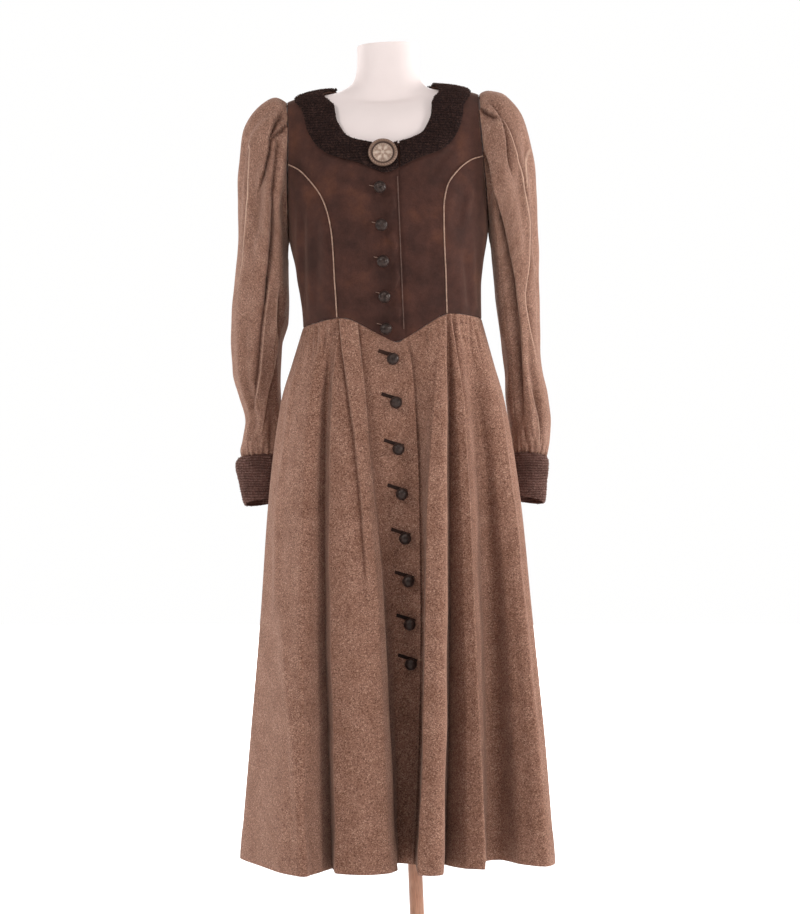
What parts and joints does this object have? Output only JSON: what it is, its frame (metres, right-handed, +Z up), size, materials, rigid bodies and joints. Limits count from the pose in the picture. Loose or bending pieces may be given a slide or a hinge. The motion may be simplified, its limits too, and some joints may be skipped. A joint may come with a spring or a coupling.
{
  "type": "dirndl dress on a dress form",
  "caption": "Long-sleeved dirndl dress with a suede bodice, flat plush collar and full button-front tweed skirt, worn by a limbless dress form on a pole stand.",
  "frame": {"origin": "middle of the stand base's underside, on the floor", "axes": "+Z up along the stand; the front of the dress faces -Y; the wearer's left is at +X"},
  "size_m": [0.5189, 0.349, 1.5012],
  "materials": {
    "form_shell": "smooth pale shell, eggshell sheen",
    "pole_wood": "turned, waxed",
    "suede": "brown suede, mottled",
    "plush": "dark short pile",
    "cuff_plush": "brown short pile with fine ribs",
    "piping": "pale cord piping",
    "tweed": "heathered wool tweed",
    "pewter": "dull antiqued metal",
    "ball_leather": "plaited leather ball",
    "buttonhole_suede": "dark suede welts"
  },
  "bodies": {
    "root": {"form_body": "form_shell", "form_base": "form_shell", "form_pole": "pole_wood", "bodice_front_right": "suede", "bodice_front_left": "suede", "bodice_side_front_right": "suede", "bodice_side_front_left": "suede", "bodice_side_back_right": "suede", "bodice_side_back_left": "suede", "bodice_back_right": "suede", "bodice_back_left": "suede", "collar_right": "plush", "collar_left": "plush", "piping_princess_right": "piping", "piping_princess_left": "piping", "piping_front_edge": "piping", "skirt_front_right": "tweed", "skirt_front_left": "tweed", "skirt_back_right": "tweed", "skirt_back_left": "tweed", "sleeve_upper_right": "tweed", "sleeve_upper_left": "tweed", "sleeve_under_right": "tweed", "sleeve_under_left": "tweed", "cuff_right": "cuff_plush", "cuff_left": "cuff_plush", "button_neck": "pewter", "button_bodice_1": "ball_leather", "button_bodice_2": "ball_leather", "button_bodice_3": "ball_leather", "button_bodice_4": "ball_leather", "button_bodice_5": "ball_leather", "button_skirt_1": "ball_leather", "button_skirt_2": "ball_leather", "button_skirt_3": "ball_leather", "button_skirt_4": "ball_leather", "button_skirt_5": "ball_leather", "button_skirt_6": "ball_leather", "button_skirt_7": "ball_leather", "button_skirt_8": "ball_leather", "buttonhole_1": "buttonhole_suede", "buttonhole_2": "buttonhole_suede", "buttonhole_3": "buttonhole_suede", "buttonhole_4": "buttonhole_suede", "buttonhole_5": "buttonhole_suede", "buttonhole_6": "buttonhole_suede", "buttonhole_7": "buttonhole_suede", "buttonhole_8": "buttonhole_suede"}
  },
  "joints": []
}
